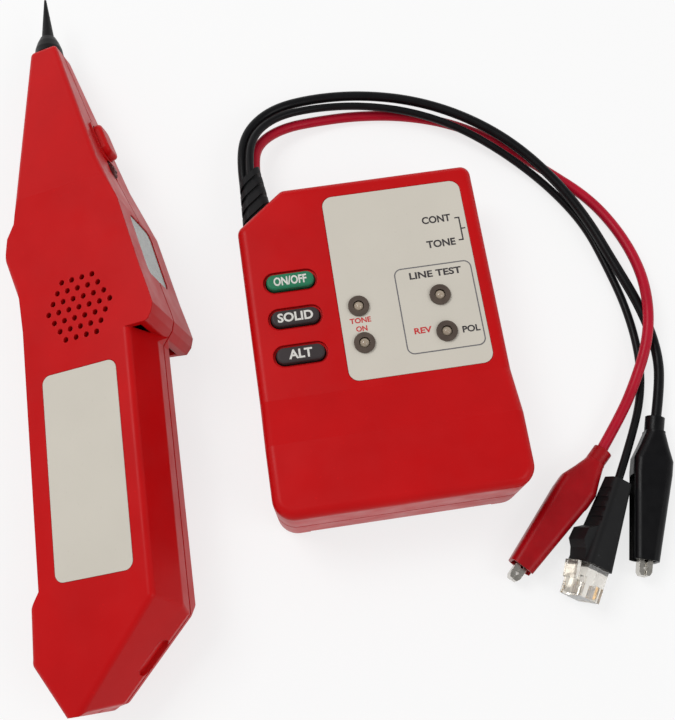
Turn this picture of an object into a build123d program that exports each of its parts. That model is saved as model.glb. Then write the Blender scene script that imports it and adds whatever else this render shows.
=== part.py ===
from build123d import *
import math
import os

os.makedirs("parts", exist_ok=True)

# Tone probe kit: a hand probe and a tone generator with three leads, lying on a table.
# Millimetres, +Z up, +Y along both cases (probe tip towards +Y).  Table at z = 0.

# ---------------------------------------------------------------- sizes: generator
gen_width = 70.5
gen_length = 97.4
gen_height = 24.0            # main face
gen_bulge_height = 29.0      # raised battery end
gen_parting = 14.0           # height of the joint between the shells
gen_corner_x = 14.2          # cut corner that carries the strain relief
gen_corner_y = 11.0
gen_end_radius = 6.0         # plan corners at the battery end
gen_plan_radius = 3.0        # plan corners at the other end
gen_wall = 2.0
gen_edge = 1.6               # rounding of the top rim
gen_bulge_edge = 4.0         # rounding of the raised end
gen_slope_start = -14.8      # y where the raised end begins to rise
gen_slope_end = -28.5        # y where it is level again
gen_x = 11.15                # where the case lies in the layout
gen_y = -1.4
label_width = 40.6
label_length = 56.4
label_thick = 0.35
label_x = 10.6
label_y = 15.5
label_radius = 3.0
led_radius = 1.5
bezel_radius = 3.0
bezel_proud = 0.7
led_right_x = 19.35
led_left_x = -4.0
led_high_y = 8.9
led_pitch = 11.0
button_length = 13.6
button_width = 4.6
button_x = -22.1
button_high_y = 19.3
button_pitch = 11.0
button_proud = 1.0
button_travel = 0.8
button_gap = 0.35            # clearance all round a cap
recess_margin = 0.9          # shallow recess round each cap
recess_depth = 0.8
knob_y = 32.2                # slide knob, in its upper place
knob_travel = 7.6
knob_length = 5.0
knob_height = 3.4
knob_z = 18.2
knob_recess = 1.2
groove_height = 0.7
groove_depth = 0.6
board_thick = 1.6
battery_length = 48.5
battery_width = 26.5
battery_thick = 17.5
screw_head_radius = 2.6
screw_head_thick = 1.8
screw_shank_radius = 1.4
screw_length = 9.0
door_gap = 0.35
door_thick = 1.8
gen_door_width = 52.0
gen_door_length = 31.0

# ---------------------------------------------------------------- sizes: strain relief and leads
relief_base_width = 12.0
relief_base_height = 9.0
relief_top_width = 8.6
relief_top_height = 7.4
relief_length = 13.9         # measured square to the cut corner
relief_lean = 10.0           # sideways lean of the far end, along the cut corner
relief_ribs = 5
relief_rib_depth = 0.6
relief_z = 12.0
red_lead_diameter = 3.2
black_lead_diameter = 3.0
plug_lead_diameter = 2.4

# ---------------------------------------------------------------- sizes: clips and plug
clip_length = 42.0           # vinyl boot
clip_neck = 5.6              # outer diameter of the boot's neck
clip_widest = 11.2
clip_front = 7.4
clip_thick = 8.4
clip_wall = 0.9
jaw_reach = 4.2              # jaws showing in front of the boot
jaw_width = 5.2
jaw_depth = 2.1
jaw_metal = 0.6
clip_pivot = 19.0            # pivot, from the neck end
pin_radius = 0.9
pin_fit = 0.05
jaw_open = 18.0              # degrees
plug_body_width = 9.65
plug_body_height = 6.6
plug_body_length = 12.3
plug_boot_length = 26.0
plug_boot_width = 11.6
plug_boot_height = 9.0
plug_boot_rear = 7.0
latch_width = 6.2
latch_length = 12.0
latch_thick = 1.1
latch_gap = 1.5
contact_count = 6
contact_pitch = 1.02

# ---------------------------------------------------------------- sizes: probe
probe_half_angle = 9.93      # each wide face leans this much from the joint plane
probe_mid_half = 13.7        # half thickness at the sticker's centre
probe_wall = 2.0
probe_x = -69.52             # sticker centre's foot in the layout
probe_y = -28.27
nose_end = 138.5
nose_half = 5.2              # half thickness at the nose's end
nose_start = 84.0            # where the wide faces begin to close in
nose_axis = -7.3             # the tip's line across the probe
collar_radius = 4.5
collar_length = 6.5
tip_radius = 2.0
tip_length = 15.0
tip_end_radius = 0.35
sticker_width = 23.3
sticker_length = 56.7
sticker_thick = 0.3
grille_x = 1.7
grille_y = 45.9
grille_pitch = 3.3
grille_hole = 1.6
grille_rows = [4, 5, 6, 7, 6, 5, 4]
speaker_radius = 14.0
speaker_thick = 4.5
magnet_radius = 7.5
magnet_thick = 3.0
trigger_length = 11.0
trigger_width = 8.0
trigger_proud = 2.8
trigger_travel = 1.2
wheel_radius = 4.2
wheel_thick = 2.4
wheel_proud = 1.1
window_length = 20.0
window_width = 17.0
window_thick = 1.4
jack_radius = 1.8
jack_depth = 11.0
probe_door_width = 25.0
probe_door_length = 54.0
probe_groove = 0.5

CENTRE = (Align.CENTER, Align.CENTER, Align.CENTER)
LOW = (Align.CENTER, Align.CENTER, Align.MIN)
HIGH = (Align.CENTER, Align.CENTER, Align.MAX)
BIG = 400.0


# ---------------------------------------------------------------- helpers
def box(x, y, z, dx, dy, dz, align=CENTRE):
    return Pos(x, y, z) * Box(dx, dy, dz, align=align)


def bar(x, y, z, radius, height, align=CENTRE):
    return Pos(x, y, z) * Cylinder(radius, height, align=align)


def pill(x, y, z, dx, dy, dz, radius, align=Align.MIN):
    """Flat block with rounded plan corners."""
    face = RectangleRounded(dx, dy, radius)
    solid = extrude(face, dz)
    if align == Align.MAX:
        solid = Pos(0, 0, -dz) * solid
    return Pos(x, y, z) * solid


def cut_beyond(shape, point, normal):
    """Removes all of a shape that lies beyond a plane."""
    plane = Plane(origin=point, z_dir=normal)
    return shape - plane * Box(BIG, BIG, BIG, align=LOW)


def soften(shape, edges, radii):
    """Rounds edges with the first radius that works."""
    for radius in radii:
        try:
            rounded = fillet(edges, radius)
        except Exception:
            continue
        if rounded.is_valid and rounded.volume > 0.5 * shape.volume:
            return rounded
    print("  not rounded:", len(edges), "edges, radii", radii)
    return shape


def soften_each(shape, wanted, radii):
    """Rounds the wanted edges one after another, leaving any that can't be rounded."""
    done = 0
    for spot in wanted:
        for radius in radii:
            near = sorted(shape.edges(), key=lambda e: (e.center() - spot).length)[0]
            if (near.center() - spot).length > 2.5:
                break
            try:
                rounded = fillet([near], radius)
            except Exception:
                continue
            if rounded.is_valid and rounded.volume > 0.9 * shape.volume:
                shape = rounded
                done = done + 1
                break
    print("  rounded", done, "of", len(wanted))
    return shape


def inset_polygon(points, inset):
    """Moves every side of a counter-clockwise polygon inwards."""
    result = []
    count = len(points)
    for i in range(count):
        before = Vector(*points[i - 1])
        here = Vector(*points[i])
        after = Vector(*points[(i + 1) % count])
        d1 = (here - before).normalized()
        d2 = (after - here).normalized()
        n1 = Vector(-d1.Y, d1.X, 0)
        n2 = Vector(-d2.Y, d2.X, 0)
        bisector = (n1 + n2).normalized()
        spot = here + bisector * (inset / bisector.dot(n1))
        result.append((spot.X, spot.Y))
    return result


# ---------------------------------------------------------------- generator
half_w = gen_width / 2
half_l = gen_length / 2


def gen_form(inset):
    """The closed outer form of the generator, moved inwards by inset."""
    corners = [
        (-half_w, -half_l),
        (half_w, -half_l),
        (half_w, half_l),
        (-half_w + gen_corner_x, half_l),
        (-half_w, half_l - gen_corner_y),
    ]
    plan = make_face(Polyline(corners, close=True))
    points = plan.vertices()
    low = [v for v in points if v.Y < -half_l + 1]
    rest = [v for v in points if v.Y > -half_l + 1]
    plan = fillet(low, gen_end_radius)
    again = [v for v in plan.vertices() if v.Y > 0]
    plan = fillet(again, gen_plan_radius)
    if inset > 0:
        plan = offset(plan, amount=-inset)
    prism = extrude(plan, 60)
    side = [
        (-half_l - 1 + inset, inset),
        (half_l + 1, inset),
        (half_l + 1, gen_height - inset),
        (gen_slope_start, gen_height - inset),
        (gen_slope_end, gen_bulge_height - inset),
        (-half_l - 1 + inset, gen_bulge_height - inset),
    ]
    face = Plane.YZ * make_face(Polyline(side, close=True))
    slab = extrude(face, gen_width, both=True)
    return prism & slab


gen_outer = gen_form(0)
rim = []
high = []
for edge in gen_outer.edges():
    c = edge.center()
    if c.Z > gen_height - 0.5:
        on_side = abs(abs(c.X) - half_w) < 0.1 or abs(c.Y) > half_l - 7
        on_cut = c.X < -half_w + gen_corner_x and c.Y > half_l - gen_corner_y - 1
        if c.Y < gen_slope_end - 0.1 and on_side:
            high.append(edge)
        elif on_side or on_cut:
            rim.append(edge)
gen_outer = soften(gen_outer, high + rim, [2.6, 2.2, gen_edge, 1.2, 0.8])
foot = [e for e in gen_outer.edges() if e.center().Z < 0.1]
gen_outer = soften(gen_outer, foot, [1.2, 0.8])
gen_inner = gen_form(gen_wall)
gen_skin = gen_outer - gen_inner

# strain relief on the cut corner
cut_long = math.hypot(gen_corner_x, gen_corner_y)
along = Vector(gen_corner_x / cut_long, gen_corner_y / cut_long, 0)
outward = Vector(-gen_corner_y / cut_long, gen_corner_x / cut_long, 0)
relief_share = 0.43          # place of the strain relief along the cut corner
relief_at = Vector(-half_w + gen_corner_x * relief_share,
                   half_l - gen_corner_y * (1 - relief_share), relief_z) + outward * 0.01


def relief_plane(distance, shift):
    where = relief_at + outward * distance + along * shift
    return Plane(origin=where, x_dir=along, z_dir=outward)


def relief_loft(grow):
    first = relief_plane(-0.0, 0) * RectangleRounded(
        relief_base_width + grow, relief_base_height + grow, 3.0)
    last = relief_plane(relief_length, relief_lean) * RectangleRounded(
        relief_top_width + grow, relief_top_height + grow, 3.0)
    return loft([first, last])


relief_core = relief_loft(-2 * relief_rib_depth)
relief_full = relief_loft(0)
relief = relief_core
step = relief_length / (relief_ribs - 0.4)
for i in range(relief_ribs):
    middle = step * (i + 0.3)
    band = relief_plane(middle, 0) * Box(60, 60, step * 0.6, align=CENTRE)
    relief = relief + (relief_full & band)
neck_plane = relief_plane(0, 0)
relief_neck = neck_plane * Box(8.0, 6.0, gen_wall + 1.4, align=HIGH)
relief_flange = relief_plane(-gen_wall - 0.2, 0) * Box(11.0, 8.0, 1.2, align=HIGH)
relief = relief + relief_neck + relief_flange
neck_hole = relief_plane(0.5, 0) * Box(8.2, 6.2, gen_wall + 1.5, align=HIGH)
gen_skin = gen_skin - neck_hole

# control label, buttons, lamps
top = gen_height
gen_skin = gen_skin - pill(label_x, label_y, top, label_width + 0.2, label_length + 0.2,
                           label_thick, label_radius, Align.MAX)
label = pill(label_x, label_y, top, label_width, label_length, label_thick, label_radius, Align.MAX)
lamp_places = []
for x in (led_right_x, led_left_x):
    for i in range(2):
        lamp_places.append((x, led_high_y - i * led_pitch))
button_places = []
for i in range(3):
    button_places.append((button_x, button_high_y - i * button_pitch))
bezels = []
lamps = []
for (x, y) in lamp_places:
    hole = bar(x, y, top - 3, bezel_radius - 0.6, 6)
    gen_skin = gen_skin - hole
    label = label - hole
    ring = bar(x, y, top, bezel_radius, bezel_proud, LOW)
    ring = ring + bar(x, y, top + 0.2, bezel_radius - 0.65, gen_wall + 1.2, HIGH)
    ring = ring - bar(x, y, top, led_radius + 0.05, 12)
    bezels.append(ring)
    lamp = bar(x, y, top - 4.0, led_radius, 3.6, LOW)
    lamp = lamp + Pos(x, y, top - 0.4) * Sphere(led_radius)
    lamp = lamp + bar(x, y, top - 5.0, led_radius + 0.4, 1.0, LOW)
    lamps.append(lamp)
caps = []
for (x, y) in button_places:
    wide = button_length + 2 * recess_margin
    tall = button_width + 2 * recess_margin
    gen_skin = gen_skin - pill(x, y, top, wide, tall, recess_depth, tall / 2 - 0.1, Align.MAX)
    wide = button_length + 2 * button_gap
    tall = button_width + 2 * button_gap
    gen_skin = gen_skin - pill(x, y, top + 1, wide, tall, 6, tall / 2 - 0.1, Align.MAX)
    cap = pill(x, y, top + button_proud, button_length, button_width, 4.2,
               button_width / 2 - 0.1, Align.MAX)
    crown = [e for e in cap.edges() if e.center().Z > top + button_proud - 0.05]
    cap = soften(cap, crown, [0.7, 0.5])
    flange = pill(x, y, top + button_proud - 3.2 - button_travel - 0.2, button_length + 1.6,
                  button_width + 1.6, 0.8, button_width / 2 + 0.6, Align.MAX)
    stem = bar(x, y, top + button_proud - 5.2, 1.2, 1.6, HIGH)
    cap = cap + pill(x, y, top + button_proud - 4.0, button_length - 2, button_width - 1.5,
                     0.8, 1.4, Align.MAX)
    cap = cap + flange + bar(x, y, top + button_proud - 4.6, 1.2, 1.4, HIGH)
    caps.append(cap)

# slide switch in the long side wall
slot_y = knob_y - knob_travel / 2
gen_skin = gen_skin - box(half_w, slot_y, knob_z, 2 * knob_recess, knob_length + knob_travel + 3.0,
                          knob_height + 2.4)
gen_skin = gen_skin - box(half_w - 2, slot_y, knob_z, 8, knob_length + knob_travel - 1.2, 2.2)
knob = box(half_w - knob_recess + 0.3, knob_y, knob_z, 1.0, knob_length, knob_height,
           (Align.MIN, Align.CENTER, Align.CENTER))
for i in range(3):
    knob = knob - box(half_w + 0.1, knob_y + (i - 1) * 1.4, knob_z, 0.6, 0.5, knob_height + 1)
knob = knob + box(half_w - knob_recess + 0.4, knob_y, knob_z, 5.0, 3.2, 1.5,
                  (Align.MAX, Align.CENTER, Align.CENTER))
switch_body = box(half_w - gen_wall - 1.0, slot_y, knob_z, 6.4, knob_length + knob_travel + 4, 5.4,
                  (Align.MAX, Align.CENTER, Align.CENTER))
switch_body = switch_body - box(half_w - gen_wall - 0.5, slot_y, knob_z, 3.4,
                                knob_travel + 4.4, 2.4,
                                (Align.MAX, Align.CENTER, Align.CENTER))

# parting groove, then the two shells
groove = gen_outer - gen_form(groove_depth)
groove = groove & box(0, 0, gen_parting, BIG, BIG, groove_height)
gen_skin = gen_skin - groove
gen_upper = gen_skin & box(0, 0, gen_parting, BIG, BIG, 60, LOW)
gen_lower = gen_skin & box(0, 0, gen_parting, BIG, BIG, 60, HIGH)

# battery door: slides out past the end of the lower shell
door_mid = -half_l + gen_door_length / 2
opening = box(0, door_mid - 1, -1, gen_door_width + 2 * door_gap, gen_door_length + 2 + 2 * door_gap,
              door_thick + 1 + door_gap, LOW)
door_lip = 1.6
opening = opening + box(0, door_mid + 1.5, 1.0, gen_door_width - 2 * door_lip,
                        gen_door_length - 7.0, 4, LOW)
gen_lower = gen_lower - opening
gen_door = box(0, door_mid + 0.6, 0.0, gen_door_width, gen_door_length - 1.2, door_thick, LOW)
outer_edge = [e for e in gen_door.edges() if e.center().Y < -half_l + 1 and e.center().Z < 0.1]
gen_door = soften(gen_door, outer_edge, [1.0, 0.6])
for i in range(5):
    gen_door = gen_door - box(0, -half_l + 5 + i * 1.6, -0.2, 14, 0.8, 0.6, LOW)

# screws from below, in bosses
screw_places = [
    (half_w - 7.5, half_l - 7.5),
    (-half_w + 7.0, half_l - 17.5),
    (half_w - 7.5, gen_slope_start + 1.5),
    (-half_w + 7.5, gen_slope_start + 1.5),
]
gen_screws = []
for (x, y) in screw_places:
    gen_lower = gen_lower + bar(x, y, gen_wall - 0.5, 3.6, gen_parting - gen_wall - 2.5, LOW)
    gen_lower = gen_lower - bar(x, y, -1, screw_head_radius + 0.3, 3.4, LOW)
    gen_lower = gen_lower - bar(x, y, 0, screw_shank_radius + 0.02, 40, LOW)
    post = bar(x, y, gen_parting - 2.6, 3.0, gen_height - gen_parting + 1.4, LOW)
    post = post - bar(x, y, 0, screw_shank_radius + 0.02, gen_parting + 3.5, LOW)
    gen_upper = gen_upper + post
    screw = bar(x, y, 0.6, screw_head_radius, screw_head_thick, LOW)
    screw = screw + bar(x, y, 0.6, screw_shank_radius, screw_head_thick + screw_length, LOW)
    screw = screw - box(x, y, 0.6, 3.4, 0.7, 1.4) - box(x, y, 0.6, 0.7, 3.4, 1.4)
    gen_screws.append(screw)

# inside: board, switches, chips, battery and its snap
board_top = top + button_proud - 6.0 - button_travel - 1.2 - 1.6
gen_board = box(0, 14.5, board_top, gen_width - 2 * gen_wall - 3, 54.0, board_thick, HIGH)
gen_board = gen_board - box(-half_w, half_l, board_top, 44, 44, 9)
for (x, y) in screw_places:
    gen_board = gen_board - bar(x, y, board_top, 4.0, 9)
tacts = []
for (x, y) in button_places:
    tact = box(x, y, board_top, 6.0, 6.0, 1.6, LOW)
    tact = tact + bar(x, y, board_top + 1.6, 1.6, 0.9, LOW)
    tacts.append(tact)
chips = []
chips.append(box(12, 30, board_top, 9.9, 6.0, 1.6, LOW))
chips.append(box(8, 2, board_top, 5.0, 4.0, 1.5, LOW))
chips.append(bar(26, 16, board_top, 2.5, 4.5, LOW))
chips.append(bar(2, 24, board_top, 2.0, 4.5, LOW))
chips.append(box(28, -4, board_top, 3.2, 1.6, 1.1, LOW))
chips.append(box(-2, 36, board_top, 3.2, 1.6, 1.1, LOW))
switch_floor = knob_z - 2.7
switch_body = switch_body + box(half_w - gen_wall - 4.4, slot_y, board_top, 3.0, 8.0,
                                max(switch_floor - board_top, 0.2) + 0.3, LOW)
bat_y = -half_l + gen_wall + 0.8 + battery_width / 2
gen_battery = pill(1.5, bat_y, door_thick + 1.6, battery_length, battery_width, battery_thick, 2.2)
crimp = [e for e in gen_battery.edges() if abs(e.center().X - 1.5) > battery_length / 2 - 0.1]
snap_x = 1.5 - battery_length / 2
snap_z = door_thick + 1.6 + battery_thick / 2
gen_snap = box(snap_x - 2.9, bat_y, snap_z, 1.6, 25.0, 12.0,
               (Align.MAX, Align.CENTER, Align.CENTER))
turn_x = Rot(0, 90, 0)
studs = []
for s in (-1, 1):
    stud = Pos(snap_x, bat_y + s * 6.35, snap_z) * turn_x * Cylinder(3.0, 2.9, align=HIGH)
    studs.append(stud)
gen_terminals = studs

# ---------------------------------------------------------------- probe (own frame: x across, y along)
theta = math.radians(probe_half_angle)
slope = math.tan(theta)
nose_drop = (probe_mid_half + nose_axis * slope - nose_half) / (nose_end - nose_start)
nose_angle = math.atan(nose_drop)
outline = [
    (-11.8, nose_end),
    (-17.8, 77.0),
    (-20.2, 73.0),
    (-21.4, 66.0),
    (-17.3, 51.5),
    (-16.8, 43.0),
    (-16.8, -29.5),
    (-19.8, -34.0),
    (-20.3, -50.5),
    (-14.6, -60.6),
    (-13.0, -61.9),
    (-7.6, -61.9),
    (-6.0, -61.2),
    (0.4, -60.6),
    (20.2, -40.7),
    (20.4, 34.6),
    (23.4, 38.6),
    (24.2, 41.4),
    (23.5, 44.6),
    (21.4, 53.0),
    (16.6, 75.4),
    (10.4, 91.9),
    (-2.8, nose_end),
]
tail_from = Vector(20.2, -40.7, 0)
tail_to = Vector(0.4, -60.6, 0)


def side_cut(shape, a, b, inset, start, lean, beyond=200.0):
    """Leans the wall over the line a-b inwards, from height start up, by lean degrees.

    The cut reaches the stated distance past b.
    """
    run = (b - a).normalized()
    size = (b - a).length + beyond + 40.0
    middle = a + run * ((b - a).length + beyond - 40.0) / 2
    out = Vector(run.Y, -run.X, 0)
    if out.dot(a) < 0:
        out = out * -1
    r = math.radians(lean)
    for s in (-1, 1):
        normal = out * math.cos(r) + Vector(0, 0, s * math.sin(r))
        point = middle + Vector(0, 0, s * start) - normal * inset
        plane = Plane(origin=point, x_dir=run, z_dir=normal)
        shape = shape - plane * Box(size, BIG, BIG, align=LOW)
    return shape


def probe_form(inset):
    plan = make_face(Polyline(inset_polygon(outline, inset), close=True))
    solid = extrude(plan, 60, both=True)
    for s in (-1, 1):
        normal = Vector(-math.sin(theta), 0, s * math.cos(theta))
        point = Vector(0, 0, s * probe_mid_half) - normal * inset
        solid = cut_beyond(solid, point, normal)
        lean = Vector(-math.sin(theta), math.sin(nose_angle), s * math.cos(theta))
        point = Vector(nose_axis, nose_end, s * nose_half) - lean.normalized() * inset
        solid = cut_beyond(solid, point, lean.normalized())
    solid = side_cut(solid, tail_from, tail_to, inset, 2.0, 24.0)
    solid = side_cut(solid, Vector(20.3, -40.7, 0), Vector(20.3, 34.6, 0), inset, 5.0, 20.0, 2.0)
    solid = side_cut(solid, Vector(-20.3, -50.5, 0), Vector(-13.8, -61.2, 0), inset, 4.0, 16.0)
    return solid


probe_outer = probe_form(0)
long_edges = []
for edge in probe_outer.edges():
    c = edge.center()
    if abs(c.Z) > 3.0 and edge.length > 8.0:
        long_edges.append(edge)
spots = [e.center() for e in long_edges]
probe_outer = soften_each(probe_outer, spots, [1.8, 1.2, 0.7])
probe_inner = probe_form(probe_wall)
probe_inner = cut_beyond(probe_inner, Vector(0, nose_end - 8, 0), Vector(0, 1, 0))
probe_skin = probe_outer - probe_inner

# collar and tip, on the nose's end
tip_turn = Rot(-90, 0, 0)
collar_profile = [
    (0, -3.0),
    (2.6, -3.0),
    (2.6, 0),
    (collar_radius, 0),
    (collar_radius - 0.3, 2.2),
    (collar_radius - 1.1, 4.6),
    (tip_radius + 0.5, collar_length),
    (0, collar_length),
]
collar = revolve(Plane.XZ * make_face(Polyline(collar_profile, close=True)), Axis.Z)
collar = Pos(nose_axis, nose_end, 0) * tip_turn * collar
tip_root = 3.0
tip = Cone(tip_radius, tip_end_radius, tip_length, align=LOW)
tip = tip + Cylinder(1.2, tip_root + collar_length + 4.0, align=HIGH)
tip = Pos(nose_axis, nose_end + collar_length, 0) * tip_turn * tip
tip_bore = Pos(nose_axis, nose_end + collar_length, 0) * tip_turn * Cylinder(1.2, 30, align=HIGH)
collar_spigot = Pos(nose_axis, nose_end, 0) * tip_turn * Cylinder(2.6, 3.0, align=HIGH)
collar = collar - tip_bore
probe_skin = probe_skin - tip_bore - collar_spigot


def on_face(x, y, lower=False):
    """A plane on a wide face, over the point (x, y), looking outwards."""
    s = -1 if lower else 1
    where = Vector(x, y, s * (probe_mid_half + x * slope))
    normal = Vector(-math.sin(theta), 0, s * math.cos(theta))
    return Plane(origin=where, x_dir=Vector(0, 1, 0), z_dir=normal)


# sticker and grille
sticker_plane = on_face(0, 0)
sticker = sticker_plane * extrude(RectangleRounded(sticker_length, sticker_width, 2.5), -sticker_thick)
probe_skin = probe_skin - sticker_plane * extrude(
    RectangleRounded(sticker_length + 0.2, sticker_width + 0.2, 2.6), -sticker_thick)
grille_plane = on_face(grille_x, grille_y)
row_step = grille_pitch * math.sqrt(3) / 2
for r, count in enumerate(grille_rows):
    for i in range(count):
        across = (i - (count - 1) / 2) * grille_pitch
        down = ((len(grille_rows) - 1) / 2 - r) * row_step
        drill = grille_plane * Pos(down, across, 0) * Cylinder(grille_hole / 2, 2 * probe_wall + 3)
        probe_skin = probe_skin - drill
speaker_at = on_face(grille_x, grille_y)
speaker_drop = probe_wall + 0.8
speaker = speaker_at * Pos(0, 0, -speaker_drop) * Cylinder(speaker_radius, speaker_thick, align=HIGH)
speaker = speaker - speaker_at * Pos(0, 0, -speaker_drop) * Cone(4.0, speaker_radius - 1.5, 2.0,
                                                                 align=HIGH)
magnet = speaker_at * Pos(0, 0, -speaker_drop - speaker_thick) * Cylinder(
    magnet_radius, magnet_thick, align=HIGH)
speaker_rim = speaker_at * Pos(0, 0, -probe_wall + 0.2) * Cylinder(
    speaker_radius + 1.2, 3.0, align=HIGH)
speaker_rim = speaker_rim - speaker_at * Cylinder(speaker_radius + 0.1, 40)

# trigger button, volume wheel and window on the front side wall
front_dir = Vector(-13.2, nose_end - 91.9, 0).normalized()
front_out = Vector(front_dir.Y, -front_dir.X, 0)


def on_front(along_y, depth=0.0):
    """A plane on the slanting front wall of the nose, looking outwards."""
    share = (along_y - 91.9) / (nose_end - 91.9)
    where = Vector(10.4 - 13.2 * share, along_y, 0) - front_out * depth
    return Plane(origin=where, x_dir=front_dir, z_dir=front_out)


trigger_plane = on_front(103.0)
trigger = trigger_plane * extrude(RectangleRounded(trigger_length, trigger_width, 2.6), trigger_proud)
crown = [e for e in trigger.edges() if (e.center() - trigger_plane.origin).dot(front_out)
         > trigger_proud - 0.1]
trigger = soften(trigger, crown, [1.1, 0.8, 0.5])
trigger = trigger + trigger_plane * extrude(
    RectangleRounded(trigger_length, trigger_width, 2.6), -3.4)
trigger = trigger + trigger_plane * Pos(0, 0, -3.4) * Box(trigger_length - 1.0, trigger_width + 2.0,
                                                          0.8, align=HIGH)
trigger_hole = trigger_plane * extrude(
    RectangleRounded(trigger_length + 0.7, trigger_width + 0.7, 2.9), 8, both=True)
trigger_pad = trigger_plane * extrude(
    RectangleRounded(trigger_length + 3.2, trigger_width + 2.6, 3.4), 0.6)
pad_back = trigger_plane * Box(trigger_length + 3.2, trigger_width + 2.6, 2.0, align=HIGH)
probe_skin = probe_skin + trigger_pad
probe_skin = probe_skin - trigger_hole
wheel_plane = on_front(93.4, wheel_radius - wheel_proud)
wheel = Pos(wheel_plane.origin) * Cylinder(wheel_radius, wheel_thick)
for i in range(16):
    a = math.radians(i * 22.5)
    spot = wheel_plane.origin + Vector(math.cos(a), math.sin(a), 0) * (wheel_radius + 0.15)
    wheel = wheel - Pos(spot) * Cylinder(0.45, wheel_thick + 1)
wheel = wheel - Pos(wheel_plane.origin) * Cylinder(1.0, wheel_thick + 1)
wheel_slot = Pos(wheel_plane.origin) * Cylinder(wheel_radius + 0.4, wheel_thick + 0.8)
probe_skin = probe_skin - wheel_slot
pot_at = wheel_plane.origin - front_out * 1.4
wheel_pot = Pos(pot_at) * Pos(0, 0, -wheel_thick / 2 - 0.4) * Cylinder(2.2, 1.4, align=HIGH)
wheel_pot = wheel_pot + Pos(wheel_plane.origin) * Pos(0, 0, -wheel_thick / 2 - 0.8) * Cylinder(
    1.0 - pin_fit, wheel_thick + 0.8, align=LOW)
window_mid = Vector(19.0, 64.2, 0)
window_dir = Vector(-4.8, 22.4, 0).normalized()
window_out = Vector(window_dir.Y, -window_dir.X, 0)
window_plane = Plane(origin=window_mid, x_dir=window_dir, z_dir=window_out)
window = window_plane * Pos(0, 0, -0.25) * extrude(
    RectangleRounded(window_length, window_width, 2.4), -window_thick)
window_seat = window_plane * extrude(
    RectangleRounded(window_length + 0.2, window_width + 0.2, 2.5), window_thick + 0.25, both=True)
probe_skin = probe_skin - window_seat

# earphone jack in the tail
jack_at = Vector(-10.3, -61.9, 0)
jack = box(jack_at.X, jack_at.Y + 1.0, 0, 8.0, jack_depth + 2.0, 6.5,
           (Align.CENTER, Align.MIN, Align.CENTER))
jack_nose = Pos(jack_at.X, jack_at.Y + 1.2, 0) * Rot(90, 0, 0) * Cylinder(3.0, 1.0, align=LOW)
jack = jack + jack_nose
jack_hole = Pos(jack_at.X, jack_at.Y - 2, 0) * Rot(-90, 0, 0) * Cylinder(
    jack_radius, jack_depth + 2.0, align=LOW)
jack = jack - jack_hole
probe_skin = probe_skin - Pos(jack_at.X, jack_at.Y - 4, 0) * Rot(-90, 0, 0) * Cylinder(
    3.05, 12, align=LOW)
probe_skin = probe_skin - box(jack_at.X, jack_at.Y + 0.95, 0, 8.1, jack_depth + 2.1, 6.6,
                              (Align.CENTER, Align.MIN, Align.CENTER))

# shallow thumb recess in the sloping tail wall
tail_run = (tail_to - tail_from).normalized()
tail_out = Vector(-tail_run.Y, tail_run.X, 0)
if tail_out.dot(tail_from) < 0:
    tail_out = tail_out * -1
recess_mid = tail_from + tail_run * 14.0 + Vector(0, 0, 2.5)
recess_plane = Plane(origin=recess_mid, x_dir=tail_run, z_dir=tail_out)
probe_skin = probe_skin - recess_plane * extrude(SlotOverall(11.0, 4.2), 1.2, both=True)

# parting groove and shells
band = probe_outer - probe_form(probe_groove)
band = band & box(0, 40, 0, BIG, BIG, 0.7)
probe_skin = probe_skin - band
probe_upper = probe_skin & box(0, 0, 0, BIG, BIG, 60, LOW)
probe_lower = probe_skin & box(0, 0, 0, BIG, BIG, 60, HIGH)
probe_upper = probe_upper + speaker_rim

# battery door in the lower wide face, hinged at its forward end
pd_mid_y = -13.0
pd_mid_x = 1.5
pd_plane = on_face(pd_mid_x, pd_mid_y, True)
pd_seat = pd_plane * extrude(Rectangle(probe_door_length + 2 * door_gap,
                                       probe_door_width + 2 * door_gap), -door_thick - 0.1)
pd_way = pd_plane * extrude(Rectangle(probe_door_length - 3.0, probe_door_width - 3.0), -6)
probe_lower = probe_lower - pd_seat - pd_way
probe_door = pd_plane * extrude(RectangleRounded(probe_door_length, probe_door_width, 0.8),
                                -door_thick)
barrel_x = probe_door_length / 2 - door_thick / 2
barrel_radius = door_thick / 2 - 0.05
probe_door = probe_door - pd_plane * Pos(barrel_x + 1, 0, -door_thick / 2) * Box(
    2, probe_door_width + 1, door_thick + 1)
probe_door = probe_door + pd_plane * Pos(barrel_x, 0, -door_thick / 2) * Rot(90, 0, 0) * Cylinder(
    barrel_radius, probe_door_width)
for i in range(5):
    notch = pd_plane * Pos(-probe_door_length / 2 + 4 + 1.6 * i, 0, 0) * Box(0.8, 12, 0.8)
    probe_door = probe_door - notch

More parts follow.
